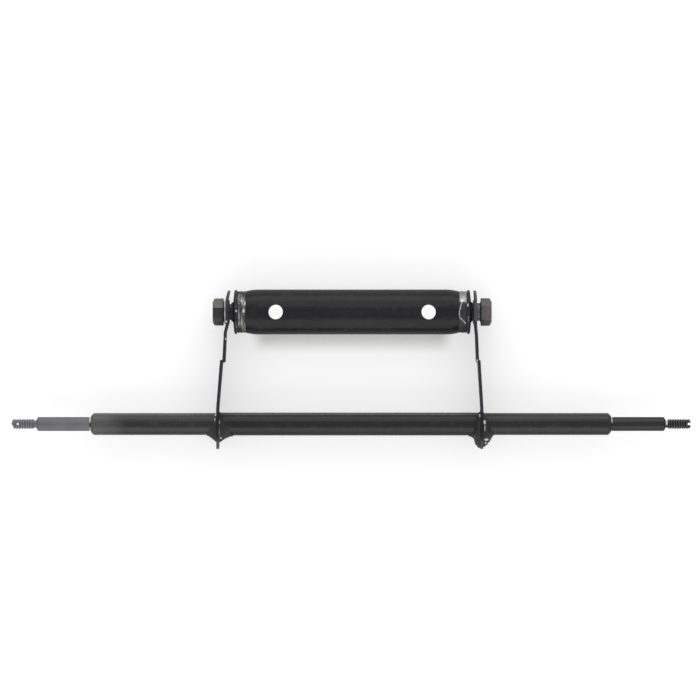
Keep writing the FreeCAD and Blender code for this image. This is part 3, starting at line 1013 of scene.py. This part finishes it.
# The left washer's zinc shine is painted: a near-white colour with little metal stands for its reflection
wear(washers["left"], bright_metal("zinc_washer", 0.3, (1.0, 1.0, 1.0, 1), (0.92, 0.92, 0.95, 1), 0.30, 0.1))
wear(washers["right"], bright_metal(
    "grey_collar", 0.4, (0.34, 0.34, 0.35, 1), (0.24, 0.24, 0.26, 1), 0.34, 0.4,
    [(127.5, 48.7, 0.9, 1.1)], washers["right"],
))
bush_steel = bright_metal("bush_steel", 0.6, (0.085, 0.083, 0.085, 1), (0.045, 0.045, 0.048, 1), 0.36, 0.5)
for side in ("left", "right"):
    wear(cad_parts[f"pivot_bush_{side}"], bush_steel)
print("bolts, washers and bushes finished")

# %% [markdown]
# The painted pieces wear their coat, and what is special to each is laid over it: a painted sheen of grey
# along the far side of the thin tubes, painted light on the plugs' shaded necks, a greyer tone at the arms'
# ends and the left sleeve's end, a painted highlight on the right arm's eye, a dark band where an arm
# crosses the axle, and on the flanges' rims and in a few spots bright steel, part wear and part painted
# glint. A material for each of these would repeat the whole recipe, so they are small functions that the
# recipe calls.

# %% Painted pieces


def rim_wear_and_glint(side):
    """One painted glint, and a faint bright line, part edge wear and part painted highlight,
    on the rim of a plug's flange.
    """
    glint_dots = {"left": [(-114.6, 58.3, 0.75, 1.2)], "right": [(116.6, 64.2, 0.7, 1.6)]}

    def mask(finish):
        _, y, z = finish.axes((0, beam.y, beam.z))
        rim = (y * y + z * z).root().step(beam_radius - 0.8 * MM, beam_radius - 0.5 * MM)
        broken = finish.noise(finish.place(stretch=(1, 0.5, 0.5)), 5 * MM, 4).step(0.56, 0.66)
        return (rim * broken * 0.35).larger(spots(finish, glint_dots[side], plugs[side]))
    return mask


def arm_glints(side):
    """Painted glints on one arm's upper edge, besides a few scattered chips."""
    glint_dots = {
        "left": [(-124.4, 47.6, 0.95, 1.1), (-124.8, 30.4, 0.7, 1.3)],
        "right": [(125.9, 8.6, 0.7, 1.2)],
    }

    def mask(finish):
        scattered = finish.noise(finish.place(), 3.0 * MM, 6, 0.66).step(0.74, 0.77)
        return scattered.larger(spots(finish, glint_dots[side], arms[side]))
    return mask


def arm_tones(side):
    """Darker where the arm crosses the axle, greyer at its tail and its eye's top,
    and a painted highlight across the right arm's eye at the pivot line.
    """
    def lay(finish, colour):
        _, y, _ = finish.axes((0, axle.y, 0))
        crossing = y.step(14 * MM, 10 * MM) * y.step(-15 * MM, -12 * MM)
        colour = finish.mix(crossing * 0.85, colour, (0.012, 0.012, 0.017, 1))
        tail = y.step(-15 * MM, -20 * MM).larger(y.step(121 * MM, 132 * MM))
        colour = finish.mix(tail * 0.45, colour, pale_grey)
        if side == "right":
            # Painted highlight on the right arm's eye, where its rim faces the camera
            painted_eye_highlight = abs(y - (beam.y - axle.y)).step(10 * MM, 9 * MM)
            colour = finish.mix(painted_eye_highlight * 0.5, colour, pale_grey)
        return colour
    return lay


def neck_painted_light(finish, colour):
    """Painted light on a plug's neck, lifting the shade between its flange and the arm's eye."""
    _, y, z = finish.axes((0, beam.y, beam.z))
    neck = (y * y + z * z).root().step(11 * MM, 9.8 * MM)
    return finish.mix(neck * 0.6, colour, pale_grey)


def far_sheen_and_end_grey(side):
    """Painted grey sheen along a tube's far side, and a greyer tone near the left sleeve's outer end."""
    def lay(finish, colour):
        x, y, z = finish.axes(axle)
        clouds = finish.noise(finish.place(stretch=(0.3, 1, 1)), 12 * MM, 4)
        # Painted reflection: the tube's upper far edge is greyed where the bright floor would shine in it
        painted_far_sheen = y.step(7.6 * MM, 10 * MM) * z.step(-1 * MM, 1 * MM)
        share = painted_far_sheen * (0.3 + 0.6 * clouds) * (0.4 if side == "right" else 1.0)
        colour = finish.mix(share, colour, (0.30, 0.30, 0.31, 1))
        if side == "left":
            near_end = (x - clouds * (30 * MM)).step(-sleeve_end + 24 * MM, -sleeve_end - 14 * MM)
            colour = finish.mix(0.10 * clouds + 0.55 * near_end, colour, pale_grey)
        return colour
    return lay


wear(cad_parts["pivot_tube"], black_paint("beam_paint", 0.0))
wear(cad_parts["axle_centre_tube"], black_paint(
    "centre_tube_paint", 1.3, gloss=0.54, depth=0.65, over=far_sheen_and_end_grey("middle")
))
for number, side in enumerate(("left", "right")):
    arm_paint = black_paint(
        f"arm_paint_{side}", 2.1 + number, depth=2.3, tint=1.2,
        over=arm_tones(side), worn_and_glints=arm_glints(side), lines=(1, 0.3, 1),
    )
    wear(arms[side], arm_paint)
    # The plugs' higher depth of tone also works as painted light, lifting their shaded flanges and necks
    plug_paint = black_paint(
        f"plug_paint_{side}", 4.7 + number, depth=2.3, tint=1.12, over=neck_painted_light, worn_and_glints=rim_wear_and_glint(side),
        lines=(1, 0.2, 0.2),
    )
    wear(plugs[side], plug_paint)
    sleeve_paint = black_paint(
        f"sleeve_paint_{side}", 6.2 + number, gloss=0.66, depth=0.55, over=far_sheen_and_end_grey(side)
    )
    wear(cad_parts[f"axle_sleeve_{side}"], sleeve_paint)
print("every piece has its finish")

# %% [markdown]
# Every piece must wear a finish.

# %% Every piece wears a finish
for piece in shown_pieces():
    assert piece.data.materials, piece.name
